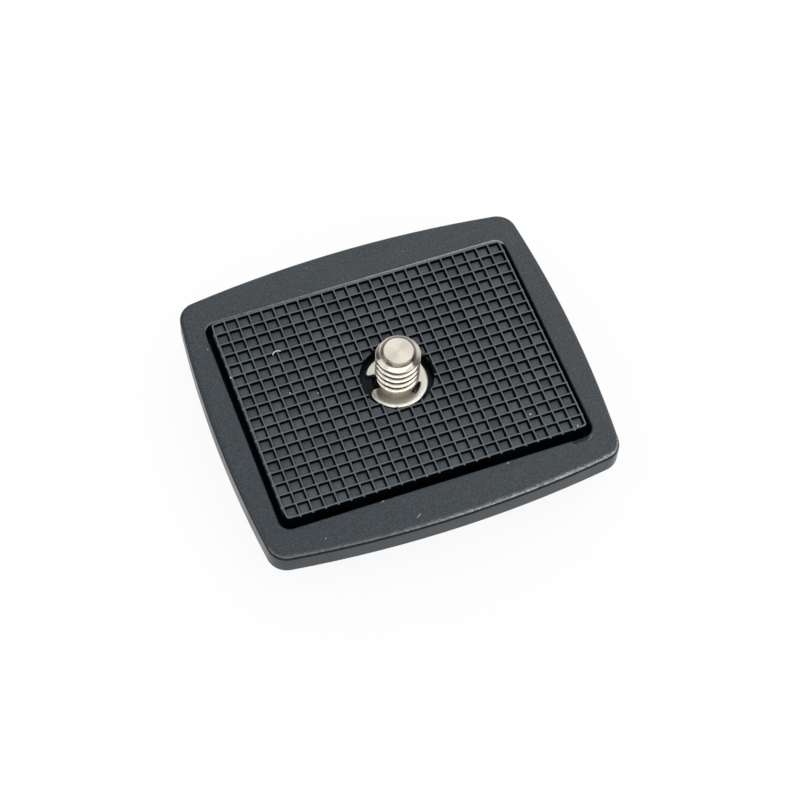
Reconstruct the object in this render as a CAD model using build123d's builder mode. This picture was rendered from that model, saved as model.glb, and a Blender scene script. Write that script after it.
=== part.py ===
from build123d import *
import os
from math import hypot

# A tripod quick release plate: a moulded plate with a dovetail foot, a waffle rubber pad on top,
# and a captive camera screw that is turned by a folding wire ring under the plate.
# Millimetres. The origin is on the screw's axis at the bottom of the foot, X runs along the long side
# and Z points up to the camera.

# Flange: a barrel outline with four bowed sides
plate_length = 53.5
plate_width = 46.6
side_bow_radius = 170.0
plate_corner_radius = 2.9
flange_thickness = 3.45
flange_top_rounding = 0.5
flange_lower_chamfer = 0.2

# Foot: a dovetail along X that the tripod head clamps
foot_height = 6.05
foot_length = 42.0
foot_width = 36.0
foot_corner_radius = 2.5
neck_width = 31.0
neck_height = 1.2
lip_height = 1.6
foot_wall = 2.6
pocket_wall = 1.8
cores_per_end = 3
core_rib = 1.6
core_corner_radius = 0.8
core_depth = 0.6
web_thickness = 2.0
pocket_mouth_chamfer = 0.5

# Rubber pad with a waffle of square pockets
cell_pitch = 1.82
cells_long = 24
cells_wide = 18
ridge_width = 0.32
waffle_depth = 0.7
pad_thickness = 2.15
pad_proud = 1.25
pad_corner_radius = 0.7
pad_hole_diameter = 10.5
moat_at_ends = 0.85
moat_at_sides = 0.85
recess_rim_rounding = 0.25
moat_depth = 0.9

# Camera screw with a 1/4 inch thread, drawn plain at its major diameter
thread_diameter = 6.3
thread_above_pad = 6.15
thread_below_pad = 0.2
tip_diameter = 4.2
tip_chamfer_height = 0.85
neck_diameter = 5.0
groove_diameter = 4.0
screw_hole_clearance = 0.3
screw_float = 1.2
head_diameter = 11.5
head_thickness = 2.8
head_chamfer = 0.4
coin_slot_width = 1.6
coin_slot_depth = 1.1

# Spring clip that keeps the screw in the plate
clip_diameter = 8.8
clip_thickness = 0.6
clip_band = 1.15
clip_back_prong_width = 1.6
clip_end_prong_width = 3.0
clip_end_prong_angle = 105.0
clip_opening_width = 2.6
clip_opening_angle = 175.0
clip_corner_radius = 0.35
groove_side_clearance = 0.05
groove_running_clearance = 0.05

# Wire ring hinged in the sides of the screw's head
ring_wire_diameter = 1.6
ring_reach = 10.0
ring_bend_radius = 1.2
ring_corner_radius = 5.0
ring_pin_depth = 1.6
ring_pin_clearance = 0.05
ring_side_gap = 0.6
ring_swing_clearance = 0.8

# Heights above the bottom of the foot
flange_top = foot_height + flange_thickness
pad_top = flange_top + pad_proud
recess_floor = pad_top - pad_thickness
moat_floor = recess_floor - moat_depth
web_underside = recess_floor - web_thickness
head_top = web_underside - screw_float
head_bottom = head_top - head_thickness
ring_height = head_bottom + head_thickness / 2
clip_top = recess_floor + clip_thickness
thread_start = pad_top - thread_below_pad
screw_tip = pad_top + thread_above_pad

# Sizes that follow from the ones above
pad_length = cells_long * cell_pitch + ridge_width
pad_width = cells_wide * cell_pitch + ridge_width
waffle_pocket = cell_pitch - ridge_width
head_radius = head_diameter / 2
groove_radius = groove_diameter / 2
wire_radius = ring_wire_diameter / 2
ring_arm_x = head_radius + ring_side_gap + wire_radius
ring_pin_x = head_radius - ring_pin_depth
ring_corner_x = ring_arm_x - ring_corner_radius
ring_corner_y = ring_reach - ring_corner_radius
ring_swept_radius = hypot(ring_corner_x, ring_corner_y) + ring_corner_radius + wire_radius
pocket_radius = ring_swept_radius + ring_swing_clearance
core_inner_x = pocket_radius + pocket_wall
core_outer_x = foot_length / 2 - foot_wall
core_pitch = (neck_width - 2 * foot_wall + core_rib) / cores_per_end
screw_hole_radius = thread_diameter / 2 + screw_hole_clearance
clip_radius = clip_diameter / 2

os.makedirs("parts", exist_ok=True)

# Moulded plate: the foot first, then the flange on it, then the recess with a raised land under the pad,
# the cores and the ring's pocket
with BuildPart() as base_plate:
    with BuildSketch(Plane.YZ) as dovetail_section:
        with BuildLine():
            Polyline(
                (0, 0),
                (foot_width / 2, 0),
                (foot_width / 2, lip_height),
                (neck_width / 2, foot_height - neck_height),
                (neck_width / 2, foot_height),
                (0, foot_height),
                close=True,
            )
        make_face()
        mirror(about=Plane.YZ)
    extrude(amount=foot_length / 2, both=True)
    with BuildSketch():
        RectangleRounded(foot_length, foot_width, foot_corner_radius)
    extrude(amount=foot_height, mode=Mode.INTERSECT)

    with BuildSketch(Plane.XY.offset(foot_height)) as flange_outline:
        Rectangle(plate_length, plate_width)
        with Locations((0, plate_width / 2 - side_bow_radius)):
            Circle(side_bow_radius, mode=Mode.INTERSECT)
        with Locations((0, side_bow_radius - plate_width / 2)):
            Circle(side_bow_radius, mode=Mode.INTERSECT)
        with Locations((plate_length / 2 - side_bow_radius, 0)):
            Circle(side_bow_radius, mode=Mode.INTERSECT)
        with Locations((side_bow_radius - plate_length / 2, 0)):
            Circle(side_bow_radius, mode=Mode.INTERSECT)
        fillet(flange_outline.vertices(), plate_corner_radius)
    extrude(amount=flange_thickness)
    fillet(base_plate.faces().sort_by(Axis.Z)[-1].edges(), flange_top_rounding)
    flange_underside = base_plate.faces().filter_by(Axis.Z).group_by(Axis.Z)[1].face()
    chamfer(flange_underside.outer_wire().edges(), flange_lower_chamfer)

    with BuildSketch(Plane.XY.offset(moat_floor)):
        RectangleRounded(
            pad_length + 2 * moat_at_ends,
            pad_width + 2 * moat_at_sides,
            pad_corner_radius + moat_at_sides,
        )
    extrude(amount=flange_top - moat_floor, mode=Mode.SUBTRACT)
    flange_face = base_plate.faces().sort_by(Axis.Z)[-1]
    fillet(flange_face.inner_wires()[0].edges(), recess_rim_rounding)
    with BuildSketch(Plane.XY.offset(moat_floor)):
        RectangleRounded(pad_length, pad_width, pad_corner_radius)
    extrude(amount=moat_depth)

    with BuildSketch():
        with GridLocations(core_inner_x + core_outer_x, core_pitch, 2, cores_per_end):
            RectangleRounded(core_outer_x - core_inner_x, core_pitch - core_rib, core_corner_radius)
    extrude(amount=core_depth, mode=Mode.SUBTRACT)
    with BuildSketch():
        Circle(pocket_radius)
    extrude(amount=web_underside, mode=Mode.SUBTRACT)
    pocket_mouth = base_plate.edges().filter_by(GeomType.CIRCLE).filter_by(
        lambda edge: abs(edge.radius - pocket_radius) < 1e-3
    )
    chamfer(pocket_mouth.group_by(Axis.Z)[0], pocket_mouth_chamfer)
    with Locations((0, 0, recess_floor)):
        Hole(screw_hole_radius)

# Rubber pad: square pockets between thin ridges, and a hole for the screw and its clip
with BuildPart() as grip_pad:
    with BuildSketch(Plane.XY.offset(recess_floor)):
        RectangleRounded(pad_length, pad_width, pad_corner_radius)
        Circle(pad_hole_diameter / 2, mode=Mode.SUBTRACT)
    extrude(amount=pad_thickness)
    with BuildSketch(Plane.XY.offset(pad_top)):
        with GridLocations(cell_pitch, cell_pitch, cells_long, cells_wide):
            Rectangle(waffle_pocket, waffle_pocket)
    extrude(amount=-waffle_depth, mode=Mode.SUBTRACT, clean=False)

# Camera screw: one turned piece with a head, a neck with the clip's groove, and the threaded end
with BuildPart() as camera_screw:
    with BuildSketch(Plane.XZ):
        with BuildLine():
            Polyline(
                (0, head_bottom),
                (head_radius - head_chamfer, head_bottom),
                (head_radius, head_bottom + head_chamfer),
                (head_radius, head_top - head_chamfer),
                (head_radius - head_chamfer, head_top),
                (neck_diameter / 2, head_top),
                (neck_diameter / 2, recess_floor - groove_side_clearance),
                (groove_radius, recess_floor - groove_side_clearance),
                (groove_radius, clip_top + groove_side_clearance),
                (neck_diameter / 2, clip_top + groove_side_clearance),
                (neck_diameter / 2, thread_start),
                (thread_diameter / 2, thread_start),
                (thread_diameter / 2, screw_tip - tip_chamfer_height),
                (tip_diameter / 2, screw_tip),
                (0, screw_tip),
                close=True,
            )
        make_face()
    revolve(axis=Axis.Z)
    with BuildSketch(Plane.XY.offset(head_bottom)):
        Rectangle(coin_slot_width, head_diameter)
    extrude(amount=coin_slot_depth, mode=Mode.SUBTRACT)
    for side in (-1, 1):
        with BuildSketch(Plane.YZ.offset(side * head_radius)):
            with Locations((0, ring_height)):
                Circle(wire_radius + ring_pin_clearance)
        extrude(amount=-side * (ring_pin_depth + ring_pin_clearance), mode=Mode.SUBTRACT)

# Spring clip: an E shape with a back prong, two wide end prongs and an opening between them
with BuildPart() as retaining_clip:
    with BuildSketch(Plane.XY.offset(recess_floor)) as clip_outline:
        Circle(clip_radius)
        Circle(clip_radius - clip_band, mode=Mode.SUBTRACT)
        with PolarLocations(0, 1, start_angle=clip_opening_angle + 180):
            Rectangle(clip_radius - clip_band / 2, clip_back_prong_width, align=(Align.MIN, Align.CENTER))
        for turn in (-clip_end_prong_angle, clip_end_prong_angle):
            with PolarLocations(0, 1, start_angle=clip_opening_angle + 180 + turn):
                Rectangle(clip_radius - clip_band / 2, clip_end_prong_width, align=(Align.MIN, Align.CENTER))
        Circle(groove_radius + groove_running_clearance, mode=Mode.SUBTRACT)
        with PolarLocations(0, 1, start_angle=clip_opening_angle):
            Rectangle(clip_diameter, clip_opening_width, align=(Align.MIN, Align.CENTER), mode=Mode.SUBTRACT)
        mouth = Vector(clip_radius, 0).rotate(Axis.Z, clip_opening_angle)
        fillet(clip_outline.vertices().sort_by_distance(mouth)[:2], clip_corner_radius)
    extrude(amount=clip_thickness)

# Wire ring: one bent wire whose ends turn in the head's side holes, folded flat under the plate
with BuildPart() as d_ring:
    with BuildLine(Plane.XY.offset(ring_height)) as ring_path:
        FilletPolyline(
            (ring_pin_x, 0),
            (ring_arm_x, 0),
            (ring_arm_x, -ring_reach),
            (-ring_arm_x, -ring_reach),
            (-ring_arm_x, 0),
            (-ring_pin_x, 0),
            radius=[ring_bend_radius, ring_corner_radius, ring_corner_radius, ring_bend_radius],
        )
    with BuildSketch(Plane(origin=ring_path.line @ 0, z_dir=ring_path.line % 0)):
        Circle(wire_radius)
    sweep()

pieces = {
    "base_plate": base_plate,
    "grip_pad": grip_pad,
    "camera_screw": camera_screw,
    "retaining_clip": retaining_clip,
    "d_ring": d_ring,
}
for name, piece in pieces.items():
    piece.part.label = name
    export_step(piece.part, f"parts/{name}.step")
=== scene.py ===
"""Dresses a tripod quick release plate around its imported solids.

The moulded plate and the wire ring keep their solids and get a finish. The rubber pad, the threaded
screw and the spring clip are finer surfaces of the same form, in the same place. Metres throughout, in
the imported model's frame: X runs along the long side, +Y to the far side and Z up along the screw.
"""
import logging
import math
from dataclasses import dataclass
from enum import Enum
from functools import cached_property
from typing import List, Sequence, Tuple, Union

import bmesh
import bpy
import numpy as np
from mathutils import Matrix, Vector


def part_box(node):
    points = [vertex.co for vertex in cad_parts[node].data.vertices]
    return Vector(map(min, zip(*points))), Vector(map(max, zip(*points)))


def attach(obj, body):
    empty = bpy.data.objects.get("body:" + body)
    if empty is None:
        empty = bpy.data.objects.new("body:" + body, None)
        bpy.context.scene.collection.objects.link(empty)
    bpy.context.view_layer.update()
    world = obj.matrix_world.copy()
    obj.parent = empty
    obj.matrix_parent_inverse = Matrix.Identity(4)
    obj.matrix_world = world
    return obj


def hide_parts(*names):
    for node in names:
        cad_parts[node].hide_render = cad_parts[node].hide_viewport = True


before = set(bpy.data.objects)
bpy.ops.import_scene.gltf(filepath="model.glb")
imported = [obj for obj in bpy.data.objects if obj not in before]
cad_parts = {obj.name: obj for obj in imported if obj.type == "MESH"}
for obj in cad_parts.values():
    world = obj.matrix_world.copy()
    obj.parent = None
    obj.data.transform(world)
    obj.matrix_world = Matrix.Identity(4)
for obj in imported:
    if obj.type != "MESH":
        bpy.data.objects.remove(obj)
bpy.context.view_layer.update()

MM = 0.001

Pair = Tuple[float, float]
Point = Tuple[float, float, float]
Colour = Tuple[float, float, float, float]
# A ramp's low and high ends and its results there
Ramp = Tuple[float, float, float, float]
# A stroke's two ends and its half width, in millimetres
Stroke = Tuple[Pair, Pair, float]
# A wave's turns along X and along Y, in radians a metre, and its start in radians
Wave = Tuple[float, float, float]
Material = bpy.types.Material
Mesh = bpy.types.Mesh
Node = bpy.types.Node
SceneObject = bpy.types.Object
Socket = bpy.types.NodeSocket
Signal = Union[bpy.types.NodeSocket, float, Sequence[float]]

log = logging.getLogger("quick_release_plate")


class Body(Enum):
    """The bodies that a piece can ride on."""

    PLATE = "plate"
    CLIP = "clip"
    SCREW = "screw"


class Slot(Enum):
    """The record's material slots for the new pieces, which this script doesn't use."""

    PAD = "pad"
    SCREW = "screw"
    CLIP = "clip"


class Solid(Enum):
    """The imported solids."""

    BASE_PLATE = "base_plate"
    GRIP_PAD = "grip_pad"
    CAMERA_SCREW = "camera_screw"
    RETAINING_CLIP = "retaining_clip"
    D_RING = "d_ring"


def grid_quads(rows: int, columns: int, ring: bool = False) -> np.ndarray:
    """Joins the points of a grid, stored row by row, into quads.

    Point (r, c) has the index r * columns + c. Each quad goes from (r, c) along the row, up to the next
    row and back, so it faces outwards where the rows climb and the columns run anticlockwise.

    Args:
        rows: How many rows of points the grid has.
        columns: How many points each row has.
        ring: Whether the last column joins the first.

    Returns:
        An array of four point indices a quad.
    """
    spans = columns if ring else columns - 1
    row, column = np.meshgrid(np.arange(rows - 1), np.arange(spans), indexing="ij")
    here = row * columns + column
    beside = row * columns + (column + 1) % columns
    return np.stack([here, beside, beside + columns, here + columns], axis=-1).reshape(-1, 4)


def tube_faces(rows: int, columns: int) -> List[List[int]]:
    """Joins rings of points into a tube that is closed at both ends.

    Args:
        rows: How many rings there are.
        columns: How many points each ring has.

    Returns:
        Lists of point indices, which face outwards where the rings climb and run anticlockwise.
    """
    first = list(range(columns))
    last = list(range((rows - 1) * columns, rows * columns))
    return grid_quads(rows, columns, ring=True).tolist() + [first[::-1], last]


def ease(value: np.ndarray) -> np.ndarray:
    """Smooth step: 0 below 0, 1 above 1 and 3t^2 - 2t^3 between."""
    part = np.clip(value, 0.0, 1.0)
    return part * part * (3.0 - 2.0 * part)


def arc_drop(value: np.ndarray, fullness: float = 1.0) -> np.ndarray:
    """The drop of a rounded edge: 1 - sqrt(1 - f t^2), with t held between 0 and 1.

    Args:
        value: How far over the edge a place is, as a share of the rounding's radius.
        fullness: How much of the quarter circle is rounded, f. At 1 it ends upright.

    Returns:
        The drop, as a share of the radius.
    """
    part = np.clip(value, 0.0, 1.0)
    return 1.0 - np.sqrt(1.0 - fullness * part**2)


def mesh_from(name: str, points: np.ndarray, faces: List[List[int]], sharp_degrees: float) -> Mesh:
    """Makes a smooth-shaded mesh that keeps its sharp edges.

    Args:
        name: The mesh's name.
        points: An array of points, three numbers each.
        faces: Lists of point indices.
        sharp_degrees: Edges that bend by more than this stay sharp.

    Returns:
        The new mesh.
    """
    mesh = bpy.data.meshes.new(name)
    mesh.from_pydata(points.tolist(), [], faces)
    mesh.validate()
    mesh.shade_smooth()
    mesh.set_sharp_from_angle(angle=math.radians(sharp_degrees))
    return mesh


def place_piece(mesh: Mesh, finish: Material) -> SceneObject:
    """Puts a finished mesh into the scene at the origin, under its own name, with one finish."""
    mesh.materials.clear()
    mesh.materials.append(finish)
    piece = bpy.data.objects.new(mesh.name, mesh)
    bpy.context.scene.collection.objects.link(piece)
    return piece


class NodeSheet:
    """Places shader nodes in one tree and links them."""

    def __init__(self, tree: bpy.types.NodeTree) -> None:
        """Keeps the tree that the nodes go into."""
        self.tree = tree

    def add(self, kind: str, *signals: Signal, **settings: object) -> Node:
        """Adds a node, sets its plain properties and feeds its inputs.

        Args:
            kind: Blender's name of the node.
            signals: Its inputs in order.
            settings: Properties of the node by name.

        Returns:
            The new node.
        """
        node = self.tree.nodes.new(kind)
        for name, value in settings.items():
            setattr(node, name, value)
        for socket, signal in zip(node.inputs, signals):
            self.feed(socket, signal)
        return node

    def feed(self, socket: Socket, signal: Signal) -> None:
        """Links a socket to another node's output, or sets its value."""
        if isinstance(signal, bpy.types.NodeSocket):
            self.tree.links.new(signal, socket)
        else:
            socket.default_value = signal

    def feed_named(self, node: Node, **signals: Signal) -> Node:
        """Feeds a node's inputs by name, with underscores for the spaces, and gives the node back."""
        for name, signal in signals.items():
            self.feed(node.inputs[name.replace("_", " ")], signal)
        return node

    def math(self, operation: str, *signals: Signal) -> Socket:
        """One step of arithmetic on numbers, by Blender's name of the operation."""
        return self.add("ShaderNodeMath", *signals, operation=operation).outputs[0]

    def vector(self, operation: str, *signals: Signal) -> Socket:
        """One step of arithmetic on vectors.

        Args:
            operation: Blender's name of the operation.
            signals: Its inputs in order.

        Returns:
            The result, a number where the operation gives one.
        """
        node = self.add("ShaderNodeVectorMath", *signals, operation=operation)
        gives_number = operation in ("LENGTH", "DISTANCE", "DOT_PRODUCT")
        return node.outputs["Value" if gives_number else "Vector"]

    def product(self, first: Signal, *others: Signal) -> Signal:
        """The product of two or more numbers."""
        for other in others:
            first = self.math("MULTIPLY", first, other)
        return first

    def largest(self, first: Signal, *others: Signal) -> Signal:
        """The largest of two or more numbers."""
        for other in others:
            first = self.math("MAXIMUM", first, other)
        return first

    def over(self, value: Signal, limit: float) -> Socket:
        """1 where a value is over a limit and 0 elsewhere."""
        return self.math("GREATER_THAN", value, limit)

    def within(self, value: Signal, limit: float) -> Socket:
        """1 where a value is nearer to 0 than a limit and 0 elsewhere."""
        return self.math("LESS_THAN", self.math("ABSOLUTE", value), limit)

    def rest(self, share: Signal) -> Socket:
        """What a share leaves of 1."""
        return self.math("SUBTRACT", 1.0, share)

    def length(self, x: Signal, y: Signal) -> Socket:
        """How far a place is from the Z axis."""
        return self.vector("LENGTH", self.add("ShaderNodeCombineXYZ", x, y, 0.0).outputs[0])

    def split(self, vector: Socket) -> Tuple[Socket, Socket, Socket]:
        """The three numbers of a vector."""
        x, y, z = self.add("ShaderNodeSeparateXYZ", vector).outputs
        return x, y, z

    def noise(self, place: Signal, scale: Signal, detail: float = 2.0, roughness: float = 0.5) -> Socket:
        """Soft random noise between 0 and 1.

        Args:
            place: The point that it is read at.
            scale: Blotches to the metre.
            detail: How many finer layers it has.
            roughness: How strong the finer layers are.

        Returns:
            The noise's value.
        """
        node = self.add("ShaderNodeTexNoise")
        self.feed_named(node, Vector=place, Scale=scale, Detail=detail, Roughness=roughness)
        return node.outputs["Fac"]

    def ramp(self, value: Signal, low: float, high: float, start: float = 0.0, end: float = 1.0) -> Socket:
        """Maps a value smoothly from one range to another and holds it at the ends.

        Args:
            value: The value to map.
            low: Where the ramp starts.
            high: Where the ramp ends.
            start: The result at low.
            end: The result at high.

        Returns:
            The mapped value.
        """
        node = self.add("ShaderNodeMapRange", interpolation_type="SMOOTHSTEP")
        self.feed_named(node, Value=value, From_Min=low, From_Max=high, To_Min=start, To_Max=end)
        return node.outputs["Result"]

    def blend(self, share: Signal, first: Signal, second: Signal) -> Socket:
        """Mixes two colours.

        Args:
            share: How much of the second colour shows, from 0 to 1.
            first: The first colour.
            second: The second colour.

        Returns:
            The mixed colour.
        """
        node = self.add("ShaderNodeMix", data_type="RGBA")
        colour_inputs = [socket for socket in node.inputs if socket.type == "RGBA"]
        self.feed(node.inputs["Factor"], share)
        self.feed(colour_inputs[0], first)
        self.feed(colour_inputs[1], second)
        return next(socket for socket in node.outputs if socket.type == "RGBA")

    def bump(self, height: Signal, distance: float, strength: float) -> Socket:
        """Tilts the surface's normal by a height.

        Args:
            height: The height, from 0 to 1.
            distance: How far a height of 1 stands, in metres.
            strength: How much of the tilt shows.

        Returns:
            The tilted normal.
        """
        node = self.add("ShaderNodeBump")
        return self.feed_named(node, Height=height, Distance=distance, Strength=strength).outputs["Normal"]

    def group(self, tree: bpy.types.NodeTree, **signals: Signal) -> Node:
        """Places a shared node group.

        Args:
            tree: The group.
            signals: Its inputs by name.

        Returns:
            The group's node, whose outputs go by name.
        """
        return self.feed_named(self.add("ShaderNodeGroup", node_tree=tree), **signals)


class MaterialSheet(NodeSheet):
    """The nodes of one material: one principled shader and what feeds it."""

    def __init__(self, name: str) -> None:
        """Starts an empty material with its shader and its object coordinates."""
        self.material = bpy.data.materials.new(name)
        self.material.use_nodes = True
        super().__init__(self.material.node_tree)
        self.tree.nodes.clear()
        self.shader = self.add("ShaderNodeBsdfPrincipled")
        self.add("ShaderNodeOutputMaterial", self.shader.outputs["BSDF"])
        coordinates = self.add("ShaderNodeTexCoord")
        self.place = coordinates.outputs["Object"]
        self.facing = coordinates.outputs["Normal"]

    @cached_property
    def spot(self) -> Tuple[Socket, Socket, Socket]:
        """The three numbers of the place."""
        return self.split(self.place)

    @cached_property
    def tilt(self) -> Tuple[Socket, Socket, Socket]:
        """The three numbers of the surface's direction."""
        return self.split(self.facing)

    def set(self, **signals: Signal) -> None:
        """Feeds the shader's sockets, whose names have underscores for their spaces."""
        self.feed_named(self.shader, **signals)

    def marks(self, strokes: Sequence[Stroke]) -> Signal:
        """Marks short straight strokes, seen from above.

        With a and b a stroke's ends, the nearest point on it is a + t(b - a), where t is the share of the
        way along it held between 0 and 1. The stroke covers what is nearer to that point than its half
        width, and is full up to half of that.

        Args:
            strokes: The strokes' ends and half widths.

        Returns:
            1 on the strokes and 0 beside them.
        """
        seen_from_above = self.vector("MULTIPLY", self.place, (1.0, 1.0, 0.0))
        covered: Signal = 0.0
        for start, end, half_width in strokes:
            first = np.array([*start, 0.0]) * MM
            run = np.array([*end, 0.0]) * MM - first
            offset = self.vector("SUBTRACT", seen_from_above, first.tolist())
            share = self.vector("DOT_PRODUCT", offset, (run / (run @ run)).tolist())
            share = self.add("ShaderNodeClamp", share).outputs["Result"]
            away = self.vector("DISTANCE", offset, self.vector("MULTIPLY", share, run.tolist()))
            covered = self.largest(covered, self.ramp(away, half_width * MM, half_width * MM / 2))
        return covered


class SharedGroups:
    """The node groups that more than one material uses, each made once.

    The scales of the grain's coarse and slow noise are shares of the scale that the group is given.
    """

    coarse_scale: float = 0.31
    coarse_height: float = 0.45
    slow_scale: float = 0.045

    def __init__(self) -> None:
        """Builds the groups."""
        self.grain = self.build_grain()
        self.specks = self.build_specks()
        self.turning = self.build_turning()

    @staticmethod
    def start(name: str, inputs: Sequence[str], outputs: Sequence[str]) -> Tuple[NodeSheet, Node, Node]:
        """Starts a node group with named sockets.

        Args:
            name: The group's name.
            inputs: Names of its inputs after the place, which are all numbers.
            outputs: Names of its outputs, which are all numbers.

        Returns:
            The group's sheet, its input node and its output node.
        """
        tree = bpy.data.node_groups.new(name, "ShaderNodeTree")
        tree.interface.new_socket("Place", in_out="INPUT", socket_type="NodeSocketVector")
        for way, labels in (("INPUT", inputs), ("OUTPUT", outputs)):
            for label in labels:
                tree.interface.new_socket(label, in_out=way, socket_type="NodeSocketFloat")
        sheet = NodeSheet(tree)
        return sheet, sheet.add("NodeGroupInput"), sheet.add("NodeGroupOutput")

    def build_grain(self) -> bpy.types.NodeTree:
        """Fine moulded grain: a height for bump and a slow mottle for colour and roughness.

        Returns:
            The group, with the outputs Height and Mottle.
        """
        sheet, given, result = self.start("moulded_grain", ("Scale",), ("Height", "Mottle"))
        place, scale = given.outputs["Place"], given.outputs["Scale"]
        fine = sheet.noise(place, scale, detail=3.0, roughness=0.65)
        coarse = sheet.noise(place, sheet.product(scale, self.coarse_scale), detail=1.0)
        slow = sheet.noise(place, sheet.product(scale, self.slow_scale), detail=3.0, roughness=0.6)
        height = sheet.math("MULTIPLY_ADD", coarse, self.coarse_height, fine)
        sheet.feed_named(result, Height=height, Mottle=slow)
        return sheet.tree

    def build_specks(self) -> bpy.types.NodeTree:
        """Scattered round specks of dust of uneven size.

        Returns:
            The group, with the output Mask.
        """
        sheet, given, result = self.start("dust_specks", ("Scale", "Share", "Radius"), ("Mask",))
        cells = sheet.add("ShaderNodeTexVoronoi", feature="F1")
        sheet.feed_named(cells, Vector=given.outputs["Place"], Scale=given.outputs["Scale"])
        pick, size, _ = sheet.split(cells.outputs["Color"])
        chosen = sheet.math("LESS_THAN", pick, given.outputs["Share"])
        radius = sheet.product(size, given.outputs["Radius"])
        inside = sheet.math("LESS_THAN", cells.outputs["Distance"], radius)
        sheet.feed_named(result, Mask=sheet.product(chosen, inside))
        return sheet.tree

    def build_turning(self) -> bpy.types.NodeTree:
        """Lathe marks round the Z axis: rings on flat faces and lines round the sides.

        Returns:
            The group, with the output Height.
        """
        sheet, given, result = self.start("turning_marks", ("Scale",), ("Height",))
        x, y, z = sheet.split(given.outputs["Place"])
        place = sheet.add("ShaderNodeCombineXYZ", sheet.length(x, y), z, 0.0).outputs[0]
        rings = sheet.noise(place, given.outputs["Scale"], detail=3.0, roughness=0.7)
        sheet.feed_named(result, Height=rings)
        return sheet.tree


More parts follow.
